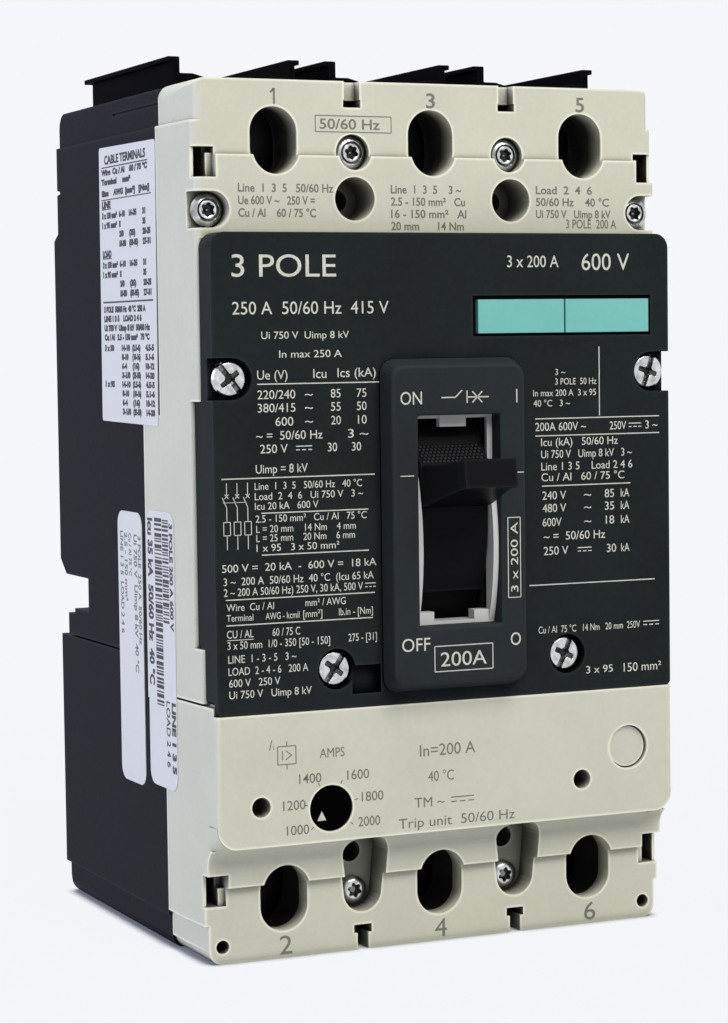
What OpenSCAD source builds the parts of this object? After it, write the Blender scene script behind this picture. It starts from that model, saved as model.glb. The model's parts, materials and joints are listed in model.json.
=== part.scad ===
// Three pole molded case circuit breaker, standing on its load end.
// Frame: X to the right, Y to the back, Z up. The origin is the middle of the footprint.

/* [Body] */
// Distance between neighbouring poles
pole_pitch = 35; // [35:0.5:36]
// Width of the housing
body_w = 104.4; // [104:0.2:106]
// Height of the black base, without the terminal shields
base_h = 174.5; // [174:0.5:177]
// Height of the seam between the trip unit and the breaker on the black base
base_seam_z = 59; // [58:0.5:60]
// Height of the seam between the two light covers
cover_seam_z = 52.5; // [52:0.25:53]
// How far each side of the light covers leans in at the front
side_lean = 1; // [0.5:0.1:1.2]

/* [Depths from the mounting face] */
// Parting plane between the black base and the light covers
seam_depth = 67; // [65:0.5:68]
// Front of the line terminal area
terminal_depth = 86; // [85:0.5:88]
// Ledge that carries the front cover
platform_depth = 90; // [89:0.5:91]
// Face of the front cover and of the trip unit
cover_depth = 93.4; // [93:0.2:95]
// Face of the toggle bezel
bezel_depth = 98; // [97:0.5:99]
// Tip of the toggle handle, which is the overall depth
handle_depth = 112.2; // [111:0.2:114]

/* [Front cover] */
// Lower edge of the front cover
cover_z0 = 50.6; // [50:0.1:51]
// Upper edge of the front cover
cover_z1 = 144.9; // [143:0.1:145.2]
// Width of the front cover
cover_w = 102; // [101:0.5:102]

/* [Toggle] */
// Height of the toggle's pivot
pivot_z = 88; // [87.5:0.25:88.5]
// Pivot to the outside of the curved shield
shield_r = 41; // [40.5:0.25:41.25]
// Angle of the handle above the horizontal in the tripped position
handle_angle = 9.2; // [8:0.1:10]
// Width of the handle's tip
tip_w = 11.3; // [10:0.1:12]
// Thickness of the handle's tip
tip_h = 5.7; // [5:0.1:6.2]
// Half the width of the window around the toggle
window_half = 9.1; // [9.1:0.1:9.5]

/* [Terminals] */
// Width of the screwdriver ovals
oval_w = 10; // [9:0.5:11]
// Height of the screwdriver ovals
oval_h = 13.4; // [12:0.2:14]
// Height of the line terminals' centres
line_z = 163.2; // [163:0.1:164]
// Height of the load terminals' centres
load_z = 12.3; // [12:0.1:13]
// Sideways place of the outer line ovals and of the shields behind them
line_tool_x = 34.4; // [34:0.2:35]
// Sideways place of the outer load ovals
load_tool_x = 34.7; // [34.2:0.1:35]
// Width of the cavity around each terminal
cavity_w = 24.4; // [22:0.2:25]
// Width and height of the square cable tunnel in each lug
tunnel = 14; // [12:0.5:15]

/* [Mounting] */
// Height of the upper mounting holes
mount_z1 = 151.8; // [151:0.1:152]
// Height of the lower mounting holes
mount_z0 = 19.2; // [19:0.1:19.8]
// Diameter of the mounting holes
mount_d = 4.5; // [4:0.1:5]

/* [Hidden] */
$fn = 48;
back_y = handle_depth / 2;
seam_y = back_y - seam_depth;
term_y = back_y - terminal_depth;
platform_y = back_y - platform_depth;
cover_y = back_y - cover_depth;
bezel_y = back_y - bezel_depth;
pivot_y = term_y + 32;
load_y = term_y - 0.3;
half_w = body_w / 2;
cover_top = base_h + 0.7;
poles = [-pole_pitch, 0, pole_pitch];
gaps = [-pole_pitch / 2, pole_pitch / 2];
e = 0.5;
// line terminal area: its ridge, its step in width and its small screws
ridge_z = 160.3;
ridge_step = 1.4;
step_z = 167;
step_in = 0.8;
line_screw = [17.3, 161.1];
side_screw = [48, 149.5];
// load terminal area
load_ridge_z = 15.2;
load_ridge_step = 1.6;
face_z = 24.1;
load_screw = [17.3, 11.3];
pocket_y = load_y + 6;
// front walls around the terminal ovals, and how much wider the rooms behind them are
line_wall = 8;
load_wall = 4.3;
room = 5.5;
// open joints between the pieces of the housing, and how deep they are
joint_gap = 0.45;
joint_deep = 2;
// front cover: its screws, the depth of their pockets and its side skirts
cover_screws = [[-46.8, 116.4], [46.8, 116.4], [-25.5, 58.5], [26.5, 58.5]];
screw_pocket = 2.8;
skirt_in = 48.2;
skirt_short = 2.7;
skirt_long = 6.3;
skirt_z = [63.4, 111.8];
lip = 1.6;
window_z = [pivot_z - 21.8, pivot_z + 20.5];
// trip unit: dial, two tool holes and a blanking plug
dial_at = [-27.1, 30.8];
hole_left = [-42.1, 32.1];
hole_right = [29.7, 32.1];
plug_at = [40.7, 38.1];
white = [0.80, 0.81, 0.75];
black = [0.17, 0.18, 0.19];
base_grey = [0.20, 0.21, 0.24];
steel = [0.8, 0.8, 0.8];

// ---- shapes used by several pieces ----

// A box given by its lowest and highest x, y and z.
module span(x, y, z) {
    translate([x[0], y[0], z[0]]) cube([x[1] - x[0], y[1] - y[0], z[1] - z[0]]);
}

// The same box on both sides of the middle, given by its inner and outer distance.
module both_sides(x, y, z) {
    span(x, y, z);
    span([-x[1], -x[0]], y, z);
}

// Carries an outline drawn in x and z from one depth to another.
module along_y(y) {
    translate([0, y[1], 0]) rotate([90, 0, 0]) linear_extrude(y[1] - y[0]) children();
}

// Carries an outline drawn in y and z from one side to the other.
module along_x(x) {
    translate([x[0], 0, 0]) rotate([90, 0, 90]) linear_extrude(x[1] - x[0]) children();
}

// A rod along Y between two depths.
module rod(x, z, d, y) {
    translate([x, y[1], z]) rotate([90, 0, 0]) cylinder(d = d, h = y[1] - y[0]);
}

// A rectangle from its low corner to its high corner, with round corners.
module round_rect(lo, hi, r) {
    translate([lo[0] + r, lo[1]]) square([hi[0] - lo[0] - 2 * r, hi[1] - lo[1]]);
    translate([lo[0], lo[1] + r]) square([hi[0] - lo[0], hi[1] - lo[1] - 2 * r]);
    for (x = [lo[0] + r, hi[0] - r], z = [lo[1] + r, hi[1] - r])
        translate([x, z]) circle(r);
}

// The upright oval that lets a tool reach a terminal.
module oval(x, z, w, h) {
    translate([x - w / 2, z - h / 2 + w / 2]) square([w, h - w]);
    for (s = [-1, 1])
        translate([x, z + s * (h - w) / 2]) circle(d = w);
}

// Points of an arc about c, counted in degrees from the first axis to the second.
function arc(c, r, from, to, n = 8) =
    [for (i = [0 : n]) c + r * [cos(from + (to - from) * i / n), sin(from + (to - from) * i / n)]];

// Half the width of a light cover at a depth: upright at the seam, leaning in towards the front.
function half_at(y, w) =
    w - side_lean * max(0, seam_y - 8 - y) / (seam_y - 8 - cover_y);

// A light cover's outline seen from above, from the seam to a front plane, with round front edges.
module plan_prism(front, z, r, w) {
    h = half_at(front + r, w);
    translate([0, 0, z[0]]) linear_extrude(z[1] - z[0]) polygon(concat(
        [[-w, seam_y], [-w, seam_y - 8]],
        arc([-h + r, front + r], r, 180, 270, 6),
        arc([h - r, front + r], r, 270, 360, 6),
        [[w, seam_y - 8], [w, seam_y]]));
}

// ---- black base ----

module base_profile() {
    rear_r = 3.5;
    upper_back = back_y - 2.8;
    polygon(concat(
        [[seam_y, base_seam_z], [back_y - 5.1, base_seam_z], [back_y - 5.1, 63.7], [back_y - 9.6, 63.7],
            [back_y - 9.6, 65], [back_y - 19.2, 65], [back_y - 19.2, 72.3], [back_y - 4, 72.3],
            [back_y, 75.5], [back_y, 146.6], [upper_back, 148.1], [upper_back, 156.7],
            [upper_back - 2, 156.9], [upper_back - 2, 157.4], [upper_back, 157.7]],
        arc([upper_back - rear_r, base_h - rear_r], rear_r, 0, 90),
        [[seam_y, base_h]]));
}

module terminal_cavity(x, z) {
    span([x - cavity_w / 2, x + cavity_w / 2], [seam_y - e, seam_y + 26], z);
}

module mounting_hole(x, z) {
    rod(x, z, mount_d, [term_y - 10, back_y + e]);
}

module base_housing() {
    cradle_r = 3.05;
    color(base_grey) difference() {
        union() {
            intersection() {
                along_x([-half_w, half_w]) base_profile();
                span([-half_w, half_w], [seam_y, back_y], [base_seam_z, step_z]);
            }
            intersection() {
                along_x([-half_w + step_in, half_w - step_in]) base_profile();
                span([-half_w, half_w], [seam_y, back_y], [step_z, base_h]);
            }
        }
        for (x = poles)
            terminal_cavity(x, [line_z - 10.2, base_h + e]);
        for (x = gaps)
            mounting_hole(x, mount_z1);
        // a fine line on the sides near the line end
        both_sides([half_w - step_in - 0.25, half_w], [seam_y - e, seam_y + 28], [171.3, 171.8]);
        // room for the light covers' side tabs
        both_sides([half_w - 2, half_w + 2], [seam_y - e, seam_y + 10], [base_seam_z - e, 109]);
        // room for the toggle's arm and the cradle of its pivot
        both_sides([8.5, 12.3], [seam_y - e, pivot_y], [pivot_z - cradle_r, pivot_z + cradle_r]);
        span([-8.6, 8.6], [seam_y - e, pivot_y + 8], [pivot_z - 12.5, pivot_z + 12.5]);
        translate([-12.3, pivot_y, pivot_z]) rotate([0, 90, 0]) cylinder(r = cradle_r, h = 24.6);
    }
}

module trip_base_profile(inset) {
    r = 4.5;
    polygon(concat(
        [[seam_y, base_seam_z], [seam_y, 0]],
        arc([back_y - inset - r, r], r, -90, 0),
        [[back_y - inset, base_seam_z]]));
}

module trip_unit_base() {
    foot_z = 6.8;
    foot_in = 0.8;
    color(base_grey) difference() {
        union() {
            intersection() {
                along_x([-half_w, half_w]) trip_base_profile(0);
                span([-half_w, half_w], [seam_y, back_y], [foot_z, base_seam_z]);
            }
            intersection() {
                along_x([-half_w + foot_in, half_w - foot_in]) trip_base_profile(foot_in);
                span([-half_w, half_w], [seam_y, back_y], [0, foot_z]);
            }
        }
        for (x = poles)
            terminal_cavity(x, [-e, load_z + 10.2]);
        for (x = gaps)
            mounting_hole(x, mount_z0);
        both_sides([half_w - 2, half_w + 2], [seam_y - e, seam_y + 10], [cover_z0, base_seam_z + e]);
        both_sides([half_w - joint_deep, half_w + e], [seam_y + 12, back_y + e],
            [base_seam_z - joint_gap, base_seam_z + e]);
        for (m = [0, 1]) mirror([m, 0, 0])
            along_y([seam_y - e, back_y + e]) corner_waste([half_w - foot_in, 0], 2.2);
    }
}

// ---- light covers ----

// A small notch in the front edge, with a deeper end.
module edge_notch(x, y, z, end_z) {
    span([x - 1.7, x + 1.7], [y - e, y + 2.6], z);
    span([x - 1.9, x + 1.9], [y - e, y + 6.5], end_z);
}

// A shallow pocket at each side edge, with a deep slot in it that is wider at its upper end.
module corner_slots(y, z, split_z) {
    both_sides([47.1, half_w + 1], [y - 3, y + 1], z);
    both_sides([48.5, 51], [y - 3, y + 7], z);
    both_sides([47.1, 49], [y - 3, y + 3], [split_z, z[1]]);
}

module line_cover() {
    color(white) difference() {
        union() {
            intersection() {
                plan_prism(term_y, [step_z, cover_top], 1.5, half_w - step_in);
                along_y([term_y - e, seam_y])
                    round_rect([-half_w + step_in, 150], [half_w - step_in, cover_top], 2.8);
            }
            plan_prism(term_y, [cover_z1, step_z], 1.5, half_w);
            plan_prism(term_y - ridge_step, [cover_z1 - 1, ridge_z], 1.5, half_w);
            // the ledge under the front cover, with shoulders behind its skirts
            span([-skirt_in + 0.1, skirt_in - 0.1], [platform_y, seam_y], [cover_seam_z, cover_z1 - 1.2]);
            plan_prism(platform_y + skirt_short + 0.1, [cover_seam_z, skirt_z[0] - 0.2], 1.1, half_w);
            plan_prism(platform_y + skirt_long + 0.1, [cover_seam_z, cover_z1], 1.1, half_w);
            plan_prism(platform_y + skirt_short + 0.1, [skirt_z[1] + 0.2, cover_z1], 1.1, half_w);
            both_sides([half_w - 2, half_w], [seam_y, seam_y + 10], [cover_seam_z, 109]);
        }
        // each oval goes through a front wall into a wider room
        for (x = [-line_tool_x, 0, line_tool_x]) {
            along_y([term_y - 2, seam_y + e]) oval(x, line_z, oval_w, oval_h);
            along_y([term_y + line_wall, seam_y + e]) oval(x, line_z, oval_w + room, oval_h + room);
        }
        for (x = gaps) {
            mounting_hole(x, mount_z1);
            rod(x, mount_z1, 8.7, [term_y - 2, term_y + 8]);
        }
        for (s = [-1, 1]) {
            rod(s * line_screw[0], line_screw[1], 7.2, [term_y - 2, term_y + 2.5]);
            rod(s * line_screw[0], line_screw[1], 3.5, [term_y - 2, term_y + 10]);
            edge_notch(s * 17.3, term_y, [170.5, cover_top + e], [170, 171.6]);
            rod(s * side_screw[0], side_screw[1], 7.2, [term_y - 2, term_y + 3]);
            rod(s * side_screw[0], side_screw[1], 3.5, [term_y - 2, term_y + 10]);
        }
        // the side screws' pockets are open to the sides
        both_sides([side_screw[0], half_w + 1], [term_y - 3, term_y + 3],
            [side_screw[1] - 3.6, side_screw[1] + 3.6]);
        corner_slots(term_y, [155.8, 161.8], 160.6);
        for (p = cover_screws)
            rod(p[0], p[1], 3.5, [platform_y - e, platform_y + 10]);
        // room for the toggle
        span([-8.6, 8.6], [platform_y - e, seam_y + e], [cover_seam_z - e, 126]);
    }
}

module trip_cover_profile() {
    cove_r = 4.5;
    wall_y = load_y - load_ridge_step;
    polygon(concat(
        [[seam_y, 0], [load_y, 0], [load_y, load_ridge_z], [wall_y, load_ridge_z + 0.3]],
        arc([wall_y - cove_r, face_z - cove_r], cove_r, 0, 90),
        [[cover_y, face_z], [cover_y, cover_z0 - 0.1], [cover_y + lip, cover_z0 - 0.1],
            [cover_y + lip, cover_seam_z], [seam_y, cover_seam_z]]));
}

// The pocket between two load terminals: narrow and round below, wider above.
module load_pocket() {
    low = 4.2;
    high = 5.05;
    corner = 3.4;
    top = 23.5 - corner;
    polygon(concat(
        arc([0, 11.9], low, 180, 360, 12),
        arc([high - corner, top], corner, 0, 90, 6),
        arc([corner - high, top], corner, 90, 180, 6)));
}

// What a round lower right corner takes away.
module corner_waste(at, r) {
    difference() {
        translate([at[0] - r, at[1] - e]) square([r + 2, r + e]);
        translate([at[0] - r, at[1] + r]) circle(r);
    }
}

module trip_unit_cover() {
    face_corner = 4;
    foot_corner = 2.7;
    foot_z = 7.9;
    foot_w = half_w - 0.8;
    color(white) difference() {
        union() {
            intersection() {
                along_x([-half_w, half_w]) trip_cover_profile();
                union() {
                    plan_prism(cover_y, [foot_z, cover_seam_z], 0.8, half_w);
                    plan_prism(cover_y, [0, foot_z], 0.8, foot_w);
                }
            }
            both_sides([half_w - 2, half_w], [seam_y, seam_y + 10], [cover_z0, cover_seam_z]);
        }
        // open joint under the line cover's sides
        both_sides([half_w - joint_deep, half_w + e], [cover_y + lip, seam_y + e],
            [cover_seam_z - joint_gap, cover_seam_z + e]);
        // round lower corners of the face and of the foot
        for (m = [0, 1]) mirror([m, 0, 0]) {
            along_y([cover_y - e, load_y - load_ridge_step - 1])
                corner_waste([51.2, face_z], face_corner);
            along_y([cover_y - e, seam_y + e])
                corner_waste([half_at(load_y, foot_w), 0], foot_corner);
        }
        for (x = [-load_tool_x, 0, load_tool_x]) {
            along_y([load_y - 10, seam_y + e]) oval(x, load_z, oval_w + 0.2, oval_h + 0.2);
            along_y([load_y + load_wall, seam_y + e]) oval(x, load_z, oval_w + room, oval_h + room);
        }
        for (x = gaps)
            mounting_hole(x, mount_z0);
        for (s = [-1, 1]) {
            along_y([cover_y - e, pocket_y]) translate([s * 17.4, 0]) load_pocket();
            rod(s * load_screw[0], load_screw[1], 3.5, [pocket_y - e, pocket_y + 7]);
            span([s * 17.4 - 1.2, s * 17.4 + 1.2], [load_y - e, load_y + 6], [-e, 5]);
            span([s * 17.4 - 1.95, s * 17.4 + 1.95], [load_y - e, load_y + 6], [3.4, 5.1]);
            rod(s * 48, 3.5, 2.75, [load_y - e, load_y + 8]);
        }
        corner_slots(load_y, [11.7, 18.2], load_ridge_z);
        rod(dial_at[0], dial_at[1], 9.3, [cover_y - e, cover_y + 4]);
        rod(dial_at[0], dial_at[1], 5.1, [cover_y - e, cover_y + 12]);
        for (p = [hole_left, hole_right])
            rod(p[0], p[1], 4, [cover_y - e, cover_y + 9]);
        rod(plug_at[0], plug_at[1], 9, [cover_y - e, cover_y + 3.2]);
    }
}

module cover_outline(z0) {
    half = cover_w / 2;
    round_rect([-half, z0], [half, z0 + 20], 1);
    round_rect([-half, z0 + 5], [half, cover_z1], 3);
}

module front_cover() {
    half = cover_w / 2;
    color(black) difference() {
        union() {
            along_y([cover_y, cover_y + lip]) cover_outline(cover_z0);
            along_y([cover_y + lip, platform_y]) cover_outline(cover_seam_z + 0.1);
            intersection() {
                along_y([platform_y, platform_y + skirt_short]) cover_outline(cover_seam_z + 0.1);
                both_sides([skirt_in, half], [platform_y, platform_y + skirt_short],
                    [cover_seam_z, cover_z1]);
            }
            for (x = [skirt_in, -half])
                along_x([x, x + half - skirt_in])
                    round_rect([platform_y - 2, skirt_z[0]], [platform_y + skirt_long, skirt_z[1]], 1.9);
        }
        // window under the bezel
        span([-window_half, window_half], [cover_y - e, platform_y + e], window_z);
        for (p = cover_screws) {
            rod(p[0], p[1], 8.2, [cover_y - e, cover_y + screw_pocket]);
            rod(p[0], p[1], 3.5, [cover_y - e, platform_y + skirt_short + e]);
        }
        // the upper screws' pockets are open to the sides
        both_sides([cover_screws[1][0], half + 1], [cover_y - e, cover_y + screw_pocket],
            [cover_screws[1][1] - 4.1, cover_screws[1][1] + 4.1]);
        // small tool recess beside the lower left screw
        span([-22.2, -15.9], [cover_y - e, cover_y + 2], [53.3, 59]);
        // recess of the two coloured strips
        span([5.5, 46.7], [cover_y - e, cover_y + 1], [124.1, 132.3]);
    }
}

module toggle_bezel() {
    color(black) difference() {
        hull() {
            along_y([cover_y - 0.6, cover_y])
                round_rect([-15.5, pivot_z - 34.8], [15.5, pivot_z + 31.8], 3, $fn = 24);
            along_y([bezel_y, bezel_y + 1])
                round_rect([-14.7, pivot_z - 33.3], [14.7, pivot_z + 30.4], 2.6, $fn = 24);
        }
        span([-window_half, window_half], [bezel_y - e, cover_y + e], window_z);
    }
}

// Light guide frame inside the window: two side rims that bulge forward, a top bar with a tab,
// and a bottom bar with two lugs.
module toggle_frame() {
    out = window_half - 0.1;
    rim = out - 1.15;
    front = cover_y - 1.1;
    rear = front + 1;
    low = window_z[0] + 0.1;
    high = window_z[1] - 0.1;
    bulge_r = 51;
    bulge_z = pivot_z - 6;
    reach = 18;
    color([0.75, 0.76, 0.77]) {
        for (x = [-out, rim])
            along_x([x, x + out - rim]) polygon(concat(
                [[rear, low], [front, low]],
                arc([front - 2.5 + bulge_r, bulge_z], bulge_r, 180 + reach, 180 - reach, 12),
                [[front, high], [rear, high]]));
        span([-out, out], [front, platform_y - 1.6], [high - 0.6, high]);
        both_sides([rim, out], [front, platform_y], [high - 0.6, high]);
        span([-2.95, 2.95], [front - 0.3, front + 1.1], [high - 2.3, high]);
        span([-out, out], [front, platform_y], [low, low + 0.7]);
        both_sides([4.5, out], [front - 0.1, front + 2.5], [low, low + 2.6]);
    }
}

// ---- toggle ----

// One layer of the curved shield that closes the window as the handle moves.
module shield_layer(r_in, r_out, down, up, half) {
    along_x([-half, half]) translate([pivot_y, pivot_z]) polygon(concat(
        arc([0, 0], r_out, 180 - up, 180 + down, 20),
        arc([0, 0], r_in, 180 + down, 180 - up, 20)));
}

module toggle_handle() {
    half = 7.6;
    root = 55;
    flange = [shield_r + 0.2, shield_r + 1.3];
    reach = (pivot_y + back_y - tip_h / 2 * sin(handle_angle)) / cos(handle_angle);
    color([0.13, 0.13, 0.14]) {
        translate([0, pivot_y, pivot_z]) rotate([-handle_angle, 0, 0]) translate([0, -pivot_y, -pivot_z]) {
            shield_layer(shield_r - 1.6, shield_r, 31, 29, half);
            shield_layer(shield_r - 4, shield_r - 1.6, 46, 48, half);
            span([-5, 5], [pivot_y - shield_r + 3, pivot_y], [pivot_z - 4, pivot_z + 4]);
            // flange with a sloping thumb rest on top
            along_x([-half, half]) translate([pivot_y, pivot_z]) polygon([
                [-shield_r + 1, -4.6], [-flange[1], -4.6], [-shield_r - 2.1, 3.8],
                [-shield_r + 0.8, 8.1], [-shield_r + 1.5, 7.5]]);
            hull() {
                span([-half, half], [pivot_y - flange[1], pivot_y - flange[0]],
                    [pivot_z - 4.6, pivot_z + 3.4]);
                span([-tip_w / 2, tip_w / 2], [pivot_y - root, pivot_y - root + 1],
                    [pivot_z - tip_h / 2, pivot_z + tip_h / 2]);
            }
            span([-tip_w / 2, tip_w / 2], [pivot_y - reach, pivot_y - root + 1],
                [pivot_z - tip_h / 2, pivot_z + tip_h / 2]);
        }
        translate([-12, pivot_y, pivot_z]) rotate([0, 90, 0]) cylinder(r = 3, h = 24);
        translate([-8, pivot_y, pivot_z]) rotate([0, 90, 0]) cylinder(r = 6, h = 16);
    }
}

// ---- small parts of the front ----

module accessory_strip(x) {
    color([0.45, 0.75, 0.69]) span(x, [cover_y - 0.3, cover_y + 1], [124.7, 131.5]);
}

module adjust_dial() {
    color([0.05, 0.05, 0.05]) {
        rod(dial_at[0], dial_at[1], 8.9, [cover_y + 0.3, cover_y + 3.6]);
        rod(dial_at[0], dial_at[1], 5, [cover_y + 0.3, cover_y + 11.5]);
    }
}

module blanking_plug() {
    color(white) rod(plug_at[0], plug_at[1], 8.4, [cover_y + 0.8, cover_y + 3.2]);
}

// A pan head screw with a cross recess: the head's front is at depth y.
module cross_screw(x, z, head_d, y, head_h) {
    color(steel) difference() {
        union() {
            rod(x, z, head_d, [y, y + head_h]);
            rod(x, z, 3.3, [y, y + head_h + 6.5]);
        }
        span([x - 1.8, x + 1.8], [y - e, y + 1], [z - 0.45, z + 0.45]);
        span([x - 0.45, x + 0.45], [y - e, y + 1], [z - 1.8, z + 1.8]);
    }
}

module line_screw(s) {
    cross_screw(s * line_screw[0], line_screw[1], 6.6, term_y + 0.5, 2);
}

module side_screw(s) {
    cross_screw(s * side_screw[0], side_screw[1], 6.6, term_y + 1, 2);
}

module cover_screw(p) {
    cross_screw(p[0], p[1], 7.2, cover_y + 1.1, screw_pocket - 1.1);
}

module load_screw(s) {
    cross_screw(s * load_screw[0], load_screw[1], 5.6, pocket_y - 1.9, 1.9);
}

module lug(x, z) {
    color([0.75, 0.75, 0.76]) difference() {
        span([x - 10, x + 10], [seam_y + 3.4, seam_y + 26], [z - 10.2, z + 10]);
        span([x - tunnel / 2, x + tunnel / 2], [seam_y + 9, seam_y + 9 + tunnel], [z - 11, z + 11]);
        rod(x, z, 9, [seam_y, seam_y + 9.5]);
    }
}

module clamp_screws(z) {
    color([0.6, 0.6, 0.62]) for (x = poles) difference() {
        rod(x, z, 9, [seam_y + 3.5, seam_y + 9]);
        translate([x, seam_y + 7, z]) rotate([90, 0, 0]) cylinder(d = 5.5, h = 5, $fn = 6);
    }
}

// Two walls with an outward lip, a low web behind the cable and two low gussets in front of it.
module terminal_shield(x) {
    wall = [11.8, 13.4];
    front = seam_y + 1.1;
    back = seam_y + 51.5;
    top = base_h + 6.8;
    color([0.12, 0.12, 0.13]) {
        for (m = [0, 1]) translate([x, 0, 0]) mirror([m, 0, 0]) {
            span(wall, [front, back], [base_h, top]);
            span([wall[0], wall[1] + 1], [front, back + 2.5], [top - 1, top]);
            span([0, wall[0] + 0.1], [seam_y + 29, back], [base_h, base_h + 1.4]);
            along_y([front, front + 1.5]) polygon([[wall[0] + 0.1, base_h], [wall[0] + 0.1, base_h + 3.5],
                [wall[0] - 2.8, base_h + 3.5], [6, base_h + 2.7], [5.5, base_h]]);
        }
    }
}

// ---- labels on the left side ----

module side_label(y, z, r, tilt) {
    mid = [(y[0] + y[1]) / 2, (z[0] + z[1]) / 2];
    color([0.85, 0.85, 0.88]) along_x([-half_w - 0.15, -half_w]) translate(mid) rotate(tilt)
        round_rect([y[0] - mid[0], z[0] - mid[1]], [y[1] - mid[0], z[1] - mid[1]], r);
}

base_housing();
trip_unit_base();
line_cover();
trip_unit_cover();
front_cover();
toggle_bezel();
toggle_frame();
toggle_handle();
accessory_strip([6.6, 26.2]);  // accessory_strip_left
accessory_strip([26.6, 46.1]);  // accessory_strip_right
adjust_dial();
blanking_plug();
line_screw(-1);  // line_screw_left
line_screw(1);  // line_screw_right
side_screw(-1);  // side_screw_left
side_screw(1);  // side_screw_right
cover_screw(cover_screws[0]);  // cover_screw_upper_left
cover_screw(cover_screws[1]);  // cover_screw_upper_right
cover_screw(cover_screws[2]);  // cover_screw_lower_left
cover_screw(cover_screws[3]);  // cover_screw_lower_right
load_screw(-1);  // load_screw_left
load_screw(1);  // load_screw_right
lug(-pole_pitch, line_z);  // line_lug_1
lug(0, line_z);  // line_lug_3
lug(pole_pitch, line_z);  // line_lug_5
lug(-pole_pitch, load_z);  // load_lug_2
lug(0, load_z);  // load_lug_4
lug(pole_pitch, load_z);  // load_lug_6
clamp_screws(line_z);  // line_clamp_screws
clamp_screws(load_z);  // load_clamp_screws
terminal_shield(-line_tool_x);  // terminal_shield_1
terminal_shield(0);  // terminal_shield_3
terminal_shield(line_tool_x);  // terminal_shield_5
side_label([term_y + 19.4, term_y + 54], [107, 164.8], 0.8, 0.8);  // rating_label
side_label([term_y + 31, term_y + 46], [31.5, 88.5], 3, 0);  // address_label
side_label([term_y + 12, term_y + 28], [33, 89.5], 3, 0);  // barcode_label
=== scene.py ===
import json
import math

import bpy
import numpy as np
from mathutils import Matrix, Vector


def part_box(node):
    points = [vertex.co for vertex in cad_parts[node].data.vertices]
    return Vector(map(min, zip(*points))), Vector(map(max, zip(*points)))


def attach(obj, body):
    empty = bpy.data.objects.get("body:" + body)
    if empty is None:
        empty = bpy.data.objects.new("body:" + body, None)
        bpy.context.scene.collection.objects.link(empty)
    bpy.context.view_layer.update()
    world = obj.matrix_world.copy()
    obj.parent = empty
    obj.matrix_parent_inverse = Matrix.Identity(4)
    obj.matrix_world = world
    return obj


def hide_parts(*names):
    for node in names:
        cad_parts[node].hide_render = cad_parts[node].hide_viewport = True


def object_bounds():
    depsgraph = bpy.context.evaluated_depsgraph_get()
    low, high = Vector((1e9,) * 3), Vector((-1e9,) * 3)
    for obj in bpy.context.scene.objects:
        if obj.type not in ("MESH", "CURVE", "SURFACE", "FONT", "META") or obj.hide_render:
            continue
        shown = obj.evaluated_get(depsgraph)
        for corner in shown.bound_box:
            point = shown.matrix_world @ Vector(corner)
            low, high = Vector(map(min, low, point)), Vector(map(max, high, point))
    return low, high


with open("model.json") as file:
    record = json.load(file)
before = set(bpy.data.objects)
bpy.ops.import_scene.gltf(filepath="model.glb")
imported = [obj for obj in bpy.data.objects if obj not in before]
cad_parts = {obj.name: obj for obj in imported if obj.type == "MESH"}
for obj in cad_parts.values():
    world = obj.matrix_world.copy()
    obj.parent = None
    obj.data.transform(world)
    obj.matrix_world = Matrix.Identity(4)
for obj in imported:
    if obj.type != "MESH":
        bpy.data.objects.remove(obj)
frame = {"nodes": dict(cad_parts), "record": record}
CAD_BOX = [list(corner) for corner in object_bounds()]
MM = 0.001

# ---- the driving places in millimetres, read from the frame where it has them ----


def low(name):
    """The low corner of a CAD node, in millimetres."""
    return np.array(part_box(name)[0]) / MM


def high(name):
    """The high corner of a CAD node, in millimetres."""
    return np.array(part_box(name)[1]) / MM


HOUSING_DEPTH = 86.0
TERMINAL_Y = CAD_BOX[1][1] / MM - HOUSING_DEPTH  # the face round the line ovals
LOAD_Y = TERMINAL_Y - 0.3  # the face round the load ovals
COVER_Y = low("front_cover")[1]
BEZEL_Y = low("toggle_bezel")[1]
LABEL_X = low("rating_label")[0]
PIVOT_Y = TERMINAL_Y + 32  # the toggle's hinge
PIVOT_Z = 88.0
POLE_SPACING = 35.0
OVAL_ROWS_Z = (13.5, 161.5)  # the middles of the load and the line ovals
OVAL_HALF = (8.5, 10.5)  # half their width and height
WELL_MIDDLE_Z = 90.0  # the toggle's well
WELL_HALF = (15.0, 26.0)
DIAL = (low("adjust_dial") + high("adjust_dial")) / 2
FACE_Z = 24.1  # the foot of the trip unit's raised face

# ---- colours, as linear red, green and blue ----

LIGHT_PLASTIC = (0.60, 0.595, 0.495)
COVER_BLACK = (0.016, 0.020, 0.0215)
# the cover's black made lighter on the raised bezel: a painted sheen
BEZEL_BLACK_WITH_SHEEN = (0.024, 0.029, 0.032)
BASE_GREY = (0.015, 0.0155, 0.020)
HANDLE_BLACK = (0.0065, 0.0065, 0.008)
SHIELD_BLACK = (0.003, 0.003, 0.004)
GUIDE_GREY = (0.62, 0.62, 0.61)
STRIP_TEAL = (0.165, 0.50, 0.46)
PRINT_WHITE = (0.62, 0.62, 0.55)
PRINT_GREY = (0.17, 0.17, 0.145)
LABEL_WHITE = (0.68, 0.67, 0.67)
INK = (0.03, 0.03, 0.035)
ZINC = (0.76, 0.78, 0.77)
# the lugs' and the clamps' metal is darkened as painted shade, for they sit deep in the terminals
LUG_METAL_IN_SHADE = (0.30, 0.30, 0.31)
CLAMP_GREY_IN_SHADE = (0.16, 0.16, 0.16)
DIAL_BLACK = (0.001, 0.001, 0.001)
KNURL_BLACK = (0.028, 0.028, 0.03)
BACKDROP = (0.913, 0.930, 0.956, 1.0)
FLOOR_GREY = (0.55, 0.56, 0.58, 1.0)
SKY = (0.95, 0.97, 1.0, 1.0)


# ---- camera and room ----

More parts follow.
